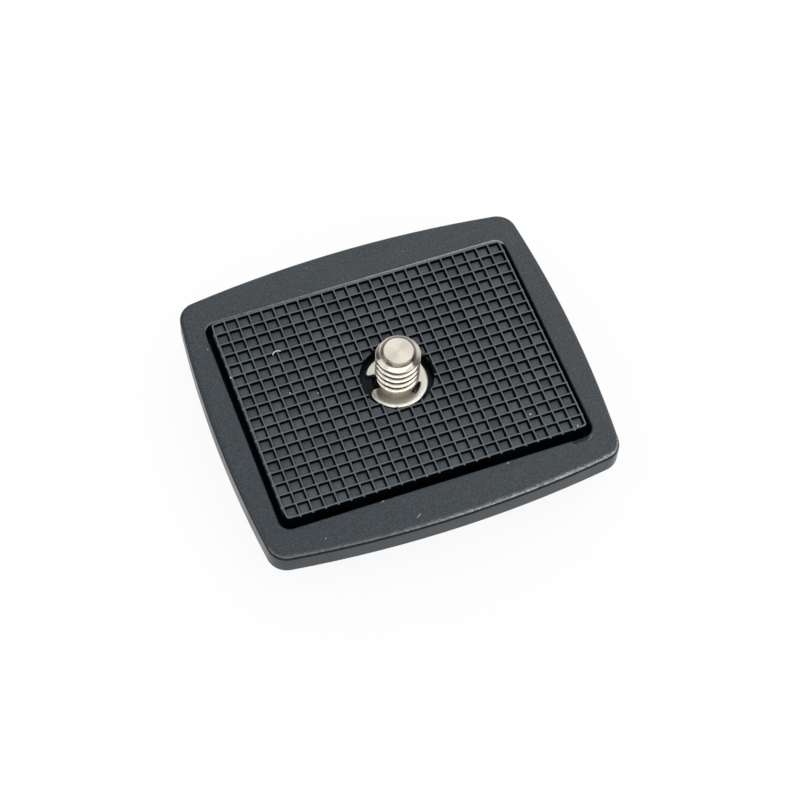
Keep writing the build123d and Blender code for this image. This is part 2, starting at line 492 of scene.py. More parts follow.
@dataclass(frozen=True)
class MouldedPlastic:
    """Charcoal moulded plastic: fine satin grain, rubbed edges and a few marks.

    The near rim and the far lip get a painted highlight, and the recess, the screw well, the side and
    the rim's lower part get painted shade.

    Tilts are ranges of one number of the surface's direction. Grains are ramps over the grain's height.
    """

    dark: Colour = (0.006, 0.009, 0.011, 1.0)
    pale: Colour = (0.030, 0.045, 0.058, 1.0)
    rubbed: Colour = (0.30, 0.318, 0.33, 1.0)
    # Pale colour for rubbed grains and for the painted highlight on the near rim and the far lip
    edge_rub_and_highlight: Colour = (0.46, 0.48, 0.495, 1.0)
    scraped: Colour = (0.42, 0.44, 0.45, 1.0)
    # Near-black colour for painted shade in the recess, the screw's well, on the flange's side and under
    # the rim
    painted_shade: Colour = (0.003, 0.004, 0.006, 1.0)
    # Bluer colour for the flange's side: a painted reflection
    side_blue: Colour = (0.014, 0.032, 0.050, 1.0)
    refraction: float = 1.52
    roughness: Ramp = (0.25, 0.75, 0.30, 0.39)
    rim_polish: float = -0.12
    grain_scale: float = 4600.0
    grain_height: float = 0.02 * MM
    grain_strength: float = 0.5
    mix_scale: float = 5750.0
    mix_grain: Pair = (0.30, 0.70)
    sparkle_scale: float = 7820.0
    sparkle_grain: Ramp = (0.60, 0.78, 0.0, 0.30)
    rim_height: float = 0.6 * MM
    rim_gap: float = 1.44 * MM
    rim_tilts: Pair = (0.9998, 0.980)
    rim_grain: Ramp = (0.45, 1.0, 0.10, 1.0)
    steep_tilts: Pair = (0.82, 0.70)
    steep_shade: float = 0.6
    side_tilts: Pair = (0.22, 0.08)
    side_tint: float = 0.5
    side_shade: float = 0.32
    near_tilts: Pair = (-0.02, -0.12)
    bow_radius: float = 170.0 * MM
    rub_insets: Pair = (0.86 * MM, 0.48 * MM)
    rub_ends: Pair = (4.0 * MM, 2.0 * MM)
    rub_and_light_along: Ramp = (-14.0 * MM, 13.0 * MM, 0.24, 0.95)
    rub_grain: Ramp = (0.60, 1.05, 0.05, 0.8)
    lip_depth: float = 0.28 * MM
    lip_tilts: Pair = (-0.10, -0.40)
    lip_along: Ramp = (-24.0 * MM, 16.0 * MM, 0.40, 1.15)
    lip_grain: Ramp = (0.45, 0.95, 0.55, 1.0)
    moat_width: float = 0.9 * MM
    recess_depths: Pair = (0.2 * MM, 0.4 * MM)
    web_depth: float = 2.4 * MM
    well: Ramp = (5.25 * MM, 5.355 * MM, 0.82, 1.0)
    scraped_share: float = 0.8
    strokes: Tuple[Stroke, ...] = (
        ((-23.45, 13.40), (-23.42, 13.44), 0.10),
        ((-17.77, -20.36), (-17.74, -20.34), 0.11),
        ((-5.07, -21.51), (-4.45, -21.11), 0.07),
        ((-8.75, -17.66), (-8.40, -17.52), 0.08),
        ((9.55, -17.82), (9.80, -17.72), 0.08),
    )
    faint_share: float = 0.3
    faint_strokes: Tuple[Stroke, ...] = (
        ((24.15, 20.37), (24.19, 20.39), 0.09),
        ((19.46, 20.09), (19.50, 20.11), 0.11),
        ((8.33, 20.03), (8.39, 20.05), 0.14),
        ((-5.73, 21.97), (-5.67, 21.99), 0.13),
        ((-6.84, 20.52), (-6.80, 20.54), 0.11),
        ((-7.86, 18.49), (-7.80, 18.51), 0.14),
        ((22.36, -17.50), (22.05, -17.82), 0.10),
        ((22.05, -17.82), (21.55, -18.02), 0.10),
        ((-23.05, 3.90), (-23.02, 3.93), 0.10),
        ((-25.05, 10.20), (-25.02, 10.23), 0.09),
    )
    # A darker stroke at the recess's near right corner, blended in with the painted shade
    dark_corner_share: float = 0.6
    dark_corner_strokes: Tuple[Stroke, ...] = (((19.7, -17.75), (21.4, -17.60), 0.55),)

    def rim(self, sheet: MaterialSheet, high: Vector, pad_corner: Vector) -> Tuple[Signal, Signal, Signal]:
        """Marks the flange's rounded top rim and its side by how far the surface tilts.

        Args:
            sheet: The material's sheet.
            high: The plate's highest corner.
            pad_corner: The pad's highest corner.

        Returns:
            A mask of the near rim's upper part, which gets rubbed wear and a painted highlight, a mask
            of the rim's lower part, which gets painted shade, and a mask of the flange's side.
        """
        x, y, z = sheet.spot
        _, sideways, upward = sheet.tilt
        past_end = sheet.over(sheet.math("ABSOLUTE", x), pad_corner.x + self.rim_gap)
        past_side = sheet.over(sheet.math("ABSOLUTE", y), pad_corner.y + self.rim_gap)
        outer = sheet.largest(past_end, past_side)
        rim = sheet.product(outer, sheet.over(z, high.z - self.rim_height))
        tilted = sheet.ramp(upward, *self.rim_tilts)
        steep = sheet.ramp(upward, *self.steep_tilts)
        upright = sheet.ramp(sheet.math("ABSOLUTE", upward), *self.side_tilts)
        near_side = sheet.ramp(sideways, *self.near_tilts)
        # Painted highlight: strongest on the near side and towards the right
        highlit_near_side = sheet.product(near_side, sheet.ramp(x, *self.rub_and_light_along))
        upper = sheet.product(tilted, sheet.rest(steep), rim, highlit_near_side)
        lower = sheet.product(steep, sheet.rest(upright), rim)
        return upper, lower, sheet.product(outer, upright)

    def rubbed_and_lit_strip(self, sheet: MaterialSheet, high: Vector) -> Signal:
        """Marks the strip beside the near rim, where high grains get rubbed wear and a painted highlight.

        The near side is an arc of the bow's radius, so the distance from it is that radius less the
        length from the arc's centre. The strip grows brighter towards the right, as the painted highlight
        does, and fades out before the right corner.

        Args:
            sheet: The material's sheet.
            high: The plate's highest corner.

        Returns:
            A mask that grows to 1 towards the rim.
        """
        x, y, z = sheet.spot
        from_centre = sheet.math("SUBTRACT", y, self.bow_radius - high.y)
        inside = sheet.math("SUBTRACT", self.bow_radius, sheet.length(x, from_centre))
        return sheet.product(
            sheet.ramp(inside, *self.rub_insets),
            sheet.ramp(x, *self.rub_and_light_along),
            sheet.ramp(sheet.math("SUBTRACT", high.x, x), *self.rub_ends, 1.0, 0.0),
            sheet.over(z, high.z - self.rim_height),
        )

    def lip(self, sheet: MaterialSheet, top: float, pad_corner: Vector) -> Signal:
        """Marks the recess's far rounding, facing the near side, for rubbed grains and a painted
        highlight.

        Args:
            sheet: The material's sheet.
            top: The height of the flange.
            pad_corner: The pad's highest corner.

        Returns:
            A mask of the rounding that grows towards the right, and 0 elsewhere.
        """
        x, y, z = sheet.spot
        return sheet.product(
            sheet.ramp(sheet.tilt[1], *self.lip_tilts),
            sheet.ramp(x, *self.lip_along),
            sheet.over(y, pad_corner.y),
            sheet.over(z, top - self.lip_depth),
        )

    def recess(self, sheet: MaterialSheet, top: float, pad_corner: Vector) -> Signal:
        """Marks the recess for painted shade: its walls, the moat and the floor of the screw's well.

        Args:
            sheet: The material's sheet.
            top: The height of the flange.
            pad_corner: The pad's highest corner.

        Returns:
            1 in the recess, less in the well and 0 elsewhere.
        """
        x, y, z = sheet.spot
        return sheet.product(
            sheet.within(x, pad_corner.x + self.moat_width),
            sheet.within(y, pad_corner.y + self.moat_width),
            sheet.ramp(sheet.length(x, y), *self.well),
            sheet.ramp(sheet.math("SUBTRACT", top, z), *self.recess_depths),
            sheet.over(z, top - self.web_depth),
        )

    def build(self, groups: SharedGroups, high: Vector, pad_corner: Vector) -> Material:
        """Makes the material.

        Args:
            groups: The shared node groups.
            high: The plate's highest corner.
            pad_corner: The pad's highest corner.

        Returns:
            The material.
        """
        sheet = MaterialSheet("charcoal_plastic")
        grain = sheet.group(groups.grain, Place=sheet.place, Scale=self.grain_scale)
        height = grain.outputs["Height"]
        mix_noise = sheet.noise(sheet.place, self.mix_scale, detail=2.0, roughness=0.6)
        colour = sheet.blend(sheet.ramp(mix_noise, *self.mix_grain), self.dark, self.pale)
        sparkle_noise = sheet.noise(sheet.place, self.sparkle_scale, detail=1.0)
        colour = sheet.blend(sheet.ramp(sparkle_noise, *self.sparkle_grain), colour, self.rubbed)
        upper_rim, lower_rim, side = self.rim(sheet, high, pad_corner)
        # Painted reflection: the flange's side is tinted bluer
        colour = sheet.blend(sheet.product(side, self.side_tint), colour, self.side_blue)

        on_top = sheet.over(sheet.spot[2], high.z - self.recess_depths[0])
        faint = sheet.product(on_top, sheet.marks(self.faint_strokes), self.faint_share)
        colour = sheet.blend(faint, colour, self.rubbed)
        off_rim = sheet.rest(sheet.math("ADD", lower_rim, side))
        # Rubbed wear and painted highlight: the near rim, the strip beside it and the far lip turn pale
        worn_and_highlit = sheet.largest(
            sheet.product(upper_rim, sheet.ramp(height, *self.rim_grain)),
            sheet.product(self.rubbed_and_lit_strip(sheet, high), sheet.ramp(height, *self.rub_grain), off_rim),
            sheet.product(self.lip(sheet, high.z, pad_corner), sheet.ramp(height, *self.lip_grain)),
        )
        colour = sheet.blend(worn_and_highlit, colour, self.edge_rub_and_highlight)
        # Painted shade: recess, well, side and lower rim go near black, with a metallic share that traps
        # light
        steep_shade = sheet.product(lower_rim, self.steep_shade)
        shade_mask = sheet.largest(
            self.recess(sheet, high.z, pad_corner),
            sheet.math("MULTIPLY_ADD", side, self.side_shade, steep_shade),
            sheet.product(on_top, sheet.marks(self.dark_corner_strokes), self.dark_corner_share),
        )
        colour = sheet.blend(shade_mask, colour, self.painted_shade)
        scraped = sheet.product(on_top, sheet.marks(self.strokes), self.scraped_share)
        polish = sheet.product(sheet.math("ADD", upper_rim, lower_rim), self.rim_polish)
        sheet.set(
            Base_Color=sheet.blend(scraped, colour, self.scraped),
            Roughness=sheet.math("ADD", polish, sheet.ramp(grain.outputs["Mottle"], *self.roughness)),
            Metallic=shade_mask,
            IOR=self.refraction,
            Normal=sheet.bump(height, self.grain_height, self.grain_strength),
        )
        return sheet.material


@dataclass(frozen=True)
class PadRubber:
    """Black rubber: dusty pocket floors, paler rubbed ridges, a few specks and one pale fibre on top.

    The ridges' paleness is partly a painted highlight, the pocket walls are painted shade and the upper
    part of the left end's wall is painted light.

    Drops are depths under the pad's top, in pocket depths.
    """

    # Pocket walls stay this black: painted shade
    black: Colour = (0.0015, 0.002, 0.003, 1.0)
    # Painted light on the upper part of the pad's left end wall
    wall: Colour = (0.115, 0.110, 0.105, 1.0)
    floor: Colour = (0.074, 0.092, 0.106, 1.0)
    ridge: Colour = (0.112, 0.132, 0.146, 1.0)
    lint: Colour = (0.80, 0.82, 0.82, 1.0)
    refraction: float = 1.5
    roughness: Ramp = (0.2, 0.8, 0.46, 0.58)
    grain_scale: float = 4300.0
    grain_height: float = 0.03 * MM
    grain_strength: float = 0.4
    flat_tilts: Pair = (0.35, 0.9)
    ridge_drops: Pair = (0.7, 0.4)
    ridge_grain: Ramp = (0.4, 1.0, 0.5, 1.0)
    wall_inset: float = 0.02 * MM
    wall_drops: Pair = (2.4, 0.1)
    wall_shade: float = 0.75
    pocket_share: float = 0.35
    pocket_mottle: Ramp = (0.25, 0.75, 0.35, 0.8)
    speck_scale: float = 520.0
    speck_share: float = 0.03
    speck_radius: float = 0.06
    speck_strength: float = 0.4
    fibre_lift: float = 0.005 * MM
    strokes: Tuple[Stroke, ...] = (
        ((-14.96, 2.44), (-14.84, 2.42), 0.13),
        ((-11.25, 1.15), (-11.22, 1.17), 0.11),
        ((-22.06, 7.16), (-22.03, 7.18), 0.12),
        ((15.33, -11.86), (15.36, -11.84), 0.13),
        ((20.85, -15.77), (20.88, -15.75), 0.13),
    )

    def build(self, groups: SharedGroups, pitch: float, high: Vector, depth: float) -> Material:
        """Makes the material.

        Args:
            groups: The shared node groups.
            pitch: The waffle's pitch.
            high: The pad's highest corner.
            depth: The depth of the pockets.

        Returns:
            The material.
        """
        sheet = MaterialSheet("pad_rubber")
        grain = sheet.group(groups.grain, Place=sheet.place, Scale=self.grain_scale)
        height, mottle = grain.outputs["Height"], grain.outputs["Mottle"]
        x, _, z = sheet.spot
        drop = sheet.math("DIVIDE", sheet.math("SUBTRACT", high.z, z), depth)
        lies_flat = sheet.ramp(sheet.tilt[2], *self.flat_tilts)
        # Painted light: the left end wall is paler at the top, fading to black lower down
        left_end = sheet.math("LESS_THAN", x, self.wall_inset - high.x)
        lit_end_wall = sheet.product(left_end, sheet.ramp(drop, *self.wall_drops))
        colour = sheet.blend(lit_end_wall, self.black, self.wall)
        cell = sheet.vector("FLOOR", sheet.vector("DIVIDE", sheet.place, (pitch, pitch, 1.0)))
        pocket = sheet.add("ShaderNodeTexWhiteNoise", cell, noise_dimensions="3D").outputs["Value"]
        patches = sheet.ramp(mottle, *self.pocket_mottle)
        patches = sheet.math("MULTIPLY_ADD", pocket, self.pocket_share, patches)
        # Flat faces take the dusty floor colour; the walls they leave black are painted shade
        colour = sheet.blend(sheet.product(lies_flat, patches), colour, self.floor)
        # Ridge tops turn paler still: rubbed rubber and a painted highlight
        on_ridge = sheet.ramp(drop, *self.ridge_drops)
        rubbed = sheet.product(lies_flat, on_ridge, sheet.ramp(height, *self.ridge_grain))
        colour = sheet.blend(rubbed, colour, self.ridge)
        specks = sheet.group(
            groups.specks,
            Place=sheet.place,
            Scale=self.speck_scale,
            Share=self.speck_share,
            Radius=self.speck_radius,
        )
        dust = sheet.product(specks.outputs["Mask"], self.speck_strength)
        dust = sheet.product(lies_flat, sheet.largest(dust, sheet.marks(self.strokes)))
        fibre = sheet.over(z, high.z + self.fibre_lift)
        # Painted shade: the pocket walls take a metallic share, which traps light
        dark_wall = sheet.rest(sheet.largest(lies_flat, left_end))
        sheet.set(
            Base_Color=sheet.blend(sheet.largest(dust, fibre), colour, self.lint),
            Roughness=sheet.ramp(mottle, *self.roughness),
            Metallic=sheet.product(dark_wall, self.wall_shade),
            IOR=self.refraction,
            Normal=sheet.bump(height, self.grain_height, self.grain_strength),
        )
        return sheet.material


@dataclass(frozen=True)
class BrightNickel:
    """Nickel plate over turned or stamped steel, with tool marks and painted shade in a thread's roots."""

    name: str
    silver: Colour = (0.62, 0.577, 0.495, 1.0)
    tarnish: Colour = (0.53, 0.484, 0.40, 1.0)
    painted_shade: Colour = (0.10, 0.085, 0.06, 1.0)
    cloud_scale: float = 2600.0
    clouds: Ramp = (0.35, 0.75, 0.0, 0.45)
    mark_scale: float = 6500.0
    mark_height: float = 0.012 * MM
    mark_strength: float = 0.4
    ring_marks: Pair = (0.35, 0.65)
    ring_share: float = 0.5
    root_reach: float = 0.25
    root_shade: float = 0.75
    slope_tilts: Pair = (0.93, 0.99)
    scuffs: Pair = (0.5, 1.1)
    smooth: float = 0.18
    dull: float = 0.26
    top_tilts: Pair = (0.97, 0.995)
    turned_dull: float = 0.0
    streak: float = 0.0
    streak_turn: float = 0.25

    def build(self, groups: SharedGroups, root_radius: float = 0.0, crest_radius: float = 0.0) -> Material:
        """Makes the material.

        Args:
            groups: The shared node groups.
            root_radius: The radius of the thread's roots in painted shade, 0 for a piece without a thread.
            crest_radius: The radius of its clean crests.

        Returns:
            The material.
        """
        sheet = MaterialSheet(self.name)
        marks = sheet.group(groups.turning, Place=sheet.place, Scale=self.mark_scale).outputs["Height"]
        grain = sheet.group(groups.grain, Place=sheet.place, Scale=self.cloud_scale)
        cloudy = sheet.ramp(grain.outputs["Mottle"], *self.clouds)
        metal = sheet.blend(cloudy, self.silver, self.tarnish)
        metal = sheet.blend(sheet.ramp(marks, *self.ring_marks, 0.0, self.ring_share), metal, self.tarnish)
        # Painted shade: the thread's sloping roots darken
        if crest_radius > root_radius:
            x, y, _ = sheet.spot
            root_end = root_radius + self.root_reach * (crest_radius - root_radius)
            in_root = sheet.ramp(sheet.length(x, y), root_radius, root_end, self.root_shade, 0.0)
            sloping = sheet.ramp(sheet.math("ABSOLUTE", sheet.tilt[2]), *self.slope_tilts, 1.0, 0.0)
            metal = sheet.blend(sheet.product(in_root, sloping), metal, self.painted_shade)
        roughness = sheet.ramp(grain.outputs["Height"], *self.scuffs, self.smooth, self.dull)
        if self.turned_dull > 0.0:
            on_tip = sheet.ramp(sheet.tilt[2], *self.top_tilts, 0.0, self.turned_dull)
            roughness = sheet.math("ADD", roughness, on_tip)
            tangent = sheet.add("ShaderNodeTangent", direction_type="RADIAL", axis="Z").outputs["Tangent"]
            sheet.set(Anisotropic=self.streak, Anisotropic_Rotation=self.streak_turn, Tangent=tangent)
        sheet.set(
            Base_Color=metal,
            Metallic=1.0,
            Roughness=roughness,
            Normal=sheet.bump(marks, self.mark_height, self.mark_strength),
        )
        return sheet.material


@dataclass
class GripPad:
    """The rubber pad: a slab with a waffle of square pockets and a round hole for the screw."""

    low: Vector
    high: Vector
    cells_long: int = 24
    cells_wide: int = 18
    ridge_width: float = 0.32 * MM
    ridge_top: float = 0.23 * MM
    ridge_foot: Pair = (0.56 * MM, 0.30 * MM)
    waffle_depth: float = 0.7 * MM
    corner_radius: float = 0.7 * MM
    hole_radius: float = 5.25 * MM
    hole_sides: int = 160
    top_rounding: float = 0.09 * MM
    shoulder_turns: Tuple[float, ...] = (0.0, 30.0, 58.0, 90.0)
    edge_rounding: float = 0.10 * MM
    sharp_degrees: float = 38.0
    wander: float = 0.009 * MM
    waves_x: Tuple[Wave, Wave] = ((0.0, 310.0, 1.7), (730.0, 510.0, 0.0))
    waves_y: Tuple[Wave, Wave] = ((350.0, 0.0, 0.4), (-560.0, 640.0, 0.0))
    nub_reach: Point = (0.17 * MM, 0.05 * MM, 0.17 * MM)
    nub_depth: float = 0.7 * MM
    nub_rows: Tuple[Pair, ...] = ((0.04, 1.0), (0.35, 0.8), (1.0, 0.0))
    nub_half_width: float = 0.20 * MM
    nub_slope: float = 0.15 * MM
    nub_fill: float = 0.8
    fibre_centre: Pair = (-14.654 * MM, 8.445 * MM)
    fibre_bend: float = 0.703 * MM
    fibre_turns: Pair = (40.7, 165.1)
    fibre_radius: float = 0.075 * MM
    fibre_ends: Pair = (0.04, 0.96)
    fibre_taper: float = 3.0
    fibre_rows: int = 25
    fibre_sides: int = 10
    fibre_sharp: float = 60.0

    @property
    def pitch(self) -> float:
        """The distance from ridge to ridge."""
        return (self.high.x - self.low.x - self.ridge_width) / self.cells_long

    def ridge_lines(self, cells: int, ridge_foot: float) -> np.ndarray:
        """Grid lines across the waffle: close together on each ridge and none on the pocket floors.

        Args:
            cells: How many pockets there are in this direction.
            ridge_foot: The ridges' width at the pocket floors.

        Returns:
            The lines' places, centred on 0.
        """
        bend = np.radians(self.shoulder_turns)
        shoulder = self.ridge_top / 2 - self.top_rounding * (1.0 - np.sin(bend))
        side = np.unique(np.concatenate([shoulder, [ridge_foot / 2, self.nub_half_width]]))
        ridge = np.concatenate([-side[::-1], [0.0], side])
        centres = (np.arange(cells + 1) - cells / 2) * self.pitch
        lines = (centres[:, None] + ridge[None, :]).ravel()
        edge = cells / 2 * self.pitch + self.ridge_width / 2
        return np.unique(np.round(np.clip(lines, -edge, edge), decimals=9))

    def ridge_share(self, place: np.ndarray, cells: int, ridge_foot: float) -> np.ndarray:
        """How far a place is up the side of its nearest ridge.

        With d the distance from the ridge's centre line, the share falls from 1 on the flat top through
        a rounded shoulder to 0 at the foot of the leaning wall. The outermost ridges stay whole outside.

        Args:
            place: Places across the waffle.
            cells: How many pockets there are in this direction.
            ridge_foot: The ridges' width at the pocket floors.

        Returns:
            1 on the ridge, 0 on the pocket floor.
        """
        half = self.ridge_top / 2
        foot = ridge_foot / 2
        nearest = np.round(place / self.pitch + cells / 2) - cells / 2
        distance = np.abs(place - nearest * self.pitch)
        over = (distance - (half - self.top_rounding)) / self.top_rounding
        rounded = 1.0 - (self.top_rounding / self.waffle_depth) * arc_drop(over)
        wall = np.clip((foot - distance) / (foot - half), 0.0, 1.0)
        return np.where(np.abs(place) >= cells / 2 * self.pitch, 1.0, rounded * wall)

    def nub_share(self, place: np.ndarray, cells: int) -> np.ndarray:
        """How much of a nub stands at a place along the slab's edge.

        Args:
            place: Places along the edge.
            cells: How many pockets there are along it.

        Returns:
            1 at a ridge's end, 0 between ridges and at the corners.
        """
        offset = np.abs(place / self.pitch - np.round(place / self.pitch)) * self.pitch
        share = ease((self.nub_half_width - offset) / self.nub_slope)
        return np.where(np.abs(place) < (cells / 2 - 0.5) * self.pitch, share, 0.0)

    def round_corners(self, x: np.ndarray, y: np.ndarray) -> Tuple[np.ndarray, np.ndarray]:
        """Pulls the slab's square corners in to arcs.

        In each corner's square, a point moves towards the arc's centre until its distance from it is
        the larger of its two offsets, so the square's outer sides become a quarter circle.

        Args:
            x: Places along the slab.
            y: Places across the slab.

        Returns:
            The moved places.
        """
        flat_x = self.high.x - self.corner_radius
        flat_y = self.high.y - self.corner_radius
        over_x = np.clip(np.abs(x) - flat_x, 0.0, None)
        over_y = np.clip(np.abs(y) - flat_y, 0.0, None)
        in_corner = (over_x > 0) & (over_y > 0)
        length = np.where(in_corner, np.hypot(over_x, over_y), 1.0)
        shrink = np.where(in_corner, np.maximum(over_x, over_y) / length, 1.0)
        new_x = np.sign(x) * (np.minimum(np.abs(x), flat_x) + over_x * shrink)
        new_y = np.sign(y) * (np.minimum(np.abs(y), flat_y) + over_y * shrink)
        return new_x, new_y

    def top_surface(self) -> Tuple[np.ndarray, int, int]:
        """The waffle as a height over a grid.

        The height is the ridge height less the pocket depth times the parts that are on no ridge in
        either direction, less the rounding of the slab's edge. Slow waves move the ridges a little.

        Returns:
            The points row by row, the number of rows and the number of columns.
        """
        foot_x, foot_y = self.ridge_foot
        across = self.ridge_lines(self.cells_long, foot_x)
        along = self.ridge_lines(self.cells_wide, foot_y)
        y, x = np.meshgrid(along, across, indexing="ij")
        off_ridge_x = 1.0 - self.ridge_share(x, self.cells_long, foot_x)
        off_ridge_y = 1.0 - self.ridge_share(y, self.cells_wide, foot_y)
        to_end = self.high.x - np.abs(x)
        to_side = self.high.y - np.abs(y)
        to_edge = np.minimum(to_end, to_side)
        side_nubs = self.nub_share(x, self.cells_long)
        end_nubs = self.nub_share(y, self.cells_wide)
        kept = self.nub_fill * np.where(to_side < to_end, side_nubs, end_nubs)
        dropped = self.edge_rounding * arc_drop(1.0 - to_edge / self.edge_rounding) * (1.0 - kept)
        z = self.high.z - self.waffle_depth * off_ridge_x * off_ridge_y - dropped
        wander = self.wander * ease(to_edge / self.pitch)
        moved = []
        for place, waves in zip(self.round_corners(x, y), (self.waves_x, self.waves_y)):
            sway = sum(np.sin(turn_x * x + turn_y * y + start) for turn_x, turn_y, start in waves)
            moved.append(place + wander * sway)
        return np.stack([*moved, z], axis=-1).reshape(-1, 3), len(along), len(across)

    def border(self, rows: int, columns: int) -> np.ndarray:
        """Indices of the grid's outer points, anticlockwise seen from above."""
        index = np.arange(rows * columns).reshape(rows, columns)
        return np.concatenate([index[0, :-1], index[:-1, -1], index[-1, :0:-1], index[:0:-1, 0]])

    def side_wall(self, edge: np.ndarray) -> np.ndarray:
        """Rows of points down the slab's side, with a small nub where each ridge runs out.

        A nub stands out by its full reach on the ridge's middle, falls off smoothly at the ridge's sides
        and fades down the wall.

        Args:
            edge: The slab's edge points, in order.

        Returns:
            The rows of points below the edge, from the top down.
        """
        ahead = np.roll(edge, -1, axis=0) - np.roll(edge, 1, axis=0)
        outward = np.stack([ahead[:, 1], -ahead[:, 0]], axis=-1)
        outward = outward / np.linalg.norm(outward, axis=-1, keepdims=True)
        at_side = np.abs(outward[:, 1]) > np.abs(outward[:, 0])
        at_left, at_right, at_sides = self.nub_reach
        at_ends = np.where(edge[:, 0] < 0.0, at_left, at_right)
        side_nubs = at_sides * self.nub_share(edge[:, 0], self.cells_long)
        end_nubs = at_ends * self.nub_share(edge[:, 1], self.cells_wide)
        nub = np.where(at_side, side_nubs, end_nubs)
        rows = []
        for drop, stand in self.nub_rows:
            ring = edge[:, :2] + outward * (stand * nub)[:, None]
            rows.append(np.column_stack([ring, edge[:, 2] - drop * self.nub_depth]))
        rows.append(np.column_stack([edge[:, :2], np.full(len(edge), self.low.z)]))
        return np.concatenate(rows)

    def cut_hole(self, slab: Mesh) -> Mesh:
        """Cuts the round hole through the slab.

        Args:
            slab: The closed slab.

        Returns:
            The slab with its hole.
        """
        turn = np.arange(self.hole_sides) * 2 * np.pi / self.hole_sides
        ring = np.stack([np.cos(turn), np.sin(turn)], axis=-1) * self.hole_radius
        levels = (self.low.z - self.waffle_depth, self.high.z + self.waffle_depth)
        points = np.concatenate([np.column_stack([ring, np.full(len(ring), z)]) for z in levels])
        cutter_mesh = bpy.data.meshes.new("hole_cutter")
        cutter_mesh.from_pydata(points.tolist(), [], tube_faces(2, self.hole_sides))
        cutter = bpy.data.objects.new("hole_cutter", cutter_mesh)
        body = bpy.data.objects.new("uncut_pad", slab)
        for each in (cutter, body):
            bpy.context.scene.collection.objects.link(each)
        cut = body.modifiers.new("hole", "BOOLEAN")
        cut.operation = "DIFFERENCE"
        cut.solver = "EXACT"
        cut.object = cutter
        bpy.context.view_layer.update()
        ready = body.evaluated_get(bpy.context.evaluated_depsgraph_get())
        result = bpy.data.meshes.new_from_object(ready)
        for each in (cutter, body):
            bpy.data.objects.remove(each)
        bpy.data.meshes.remove(cutter_mesh)
        return result

    def fibre(self) -> Mesh:
        """A short curled fibre that lies on the ridges: a thin tube along an arc, closed at both ends.

        Returns:
            The tube.
        """
        turn = np.radians(np.linspace(*self.fibre_turns, self.fibre_rows))
        round_tube = np.arange(self.fibre_sides) * 2 * np.pi / self.fibre_sides
        swell = np.sin(np.linspace(*self.fibre_ends, self.fibre_rows) * np.pi)
        taper = self.fibre_radius * np.sqrt(np.clip(swell * self.fibre_taper, 0.0, 1.0))
        radius = self.fibre_bend + taper[:, None] * np.cos(round_tube)
        height = self.high.z + self.fibre_radius + taper[:, None] * np.sin(round_tube)
        x = self.fibre_centre[0] + radius * np.cos(turn)[:, None]
        y = self.fibre_centre[1] + radius * np.sin(turn)[:, None]
        points = np.stack([x, y, height], axis=-1).reshape(-1, 3)
        faces = [face[::-1] for face in tube_faces(self.fibre_rows, self.fibre_sides)]
        return mesh_from("fibre", points, faces, self.fibre_sharp)

    def build(self, finish: Material) -> SceneObject:
        """Builds the pad and puts it in the place of its solid.

        Args:
            finish: The rubber.

        Returns:
            The pad.
        """
        points, rows, columns = self.top_surface()
        border = self.border(rows, columns)
        wall = self.side_wall(points[border])
        ring = np.concatenate([border, len(points) + np.arange(len(wall))]).reshape(-1, len(border))
        upper, lower = ring[:-1], ring[1:]
        sides = np.stack([lower, np.roll(lower, -1, axis=1), np.roll(upper, -1, axis=1), upper], axis=-1)
        underside = ring[-1][::-1].tolist()
        faces = grid_quads(rows, columns).tolist() + sides.reshape(-1, 4).tolist() + [underside]
        slab = mesh_from("uncut_pad", np.concatenate([points, wall]), faces, sharp_degrees=180.0)
        mesh = self.cut_hole(slab)
        mesh.name = "waffle_pad"
        whole = bmesh.new()
        whole.from_mesh(mesh)
        whole.from_mesh(self.fibre())
        whole.to_mesh(mesh)
        whole.free()
        mesh.shade_smooth()
        mesh.set_sharp_from_angle(angle=math.radians(self.sharp_degrees))
        pad = place_piece(mesh, finish)
        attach(pad, Body.PLATE.value)
        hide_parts(Solid.GRIP_PAD.value)
        return pad


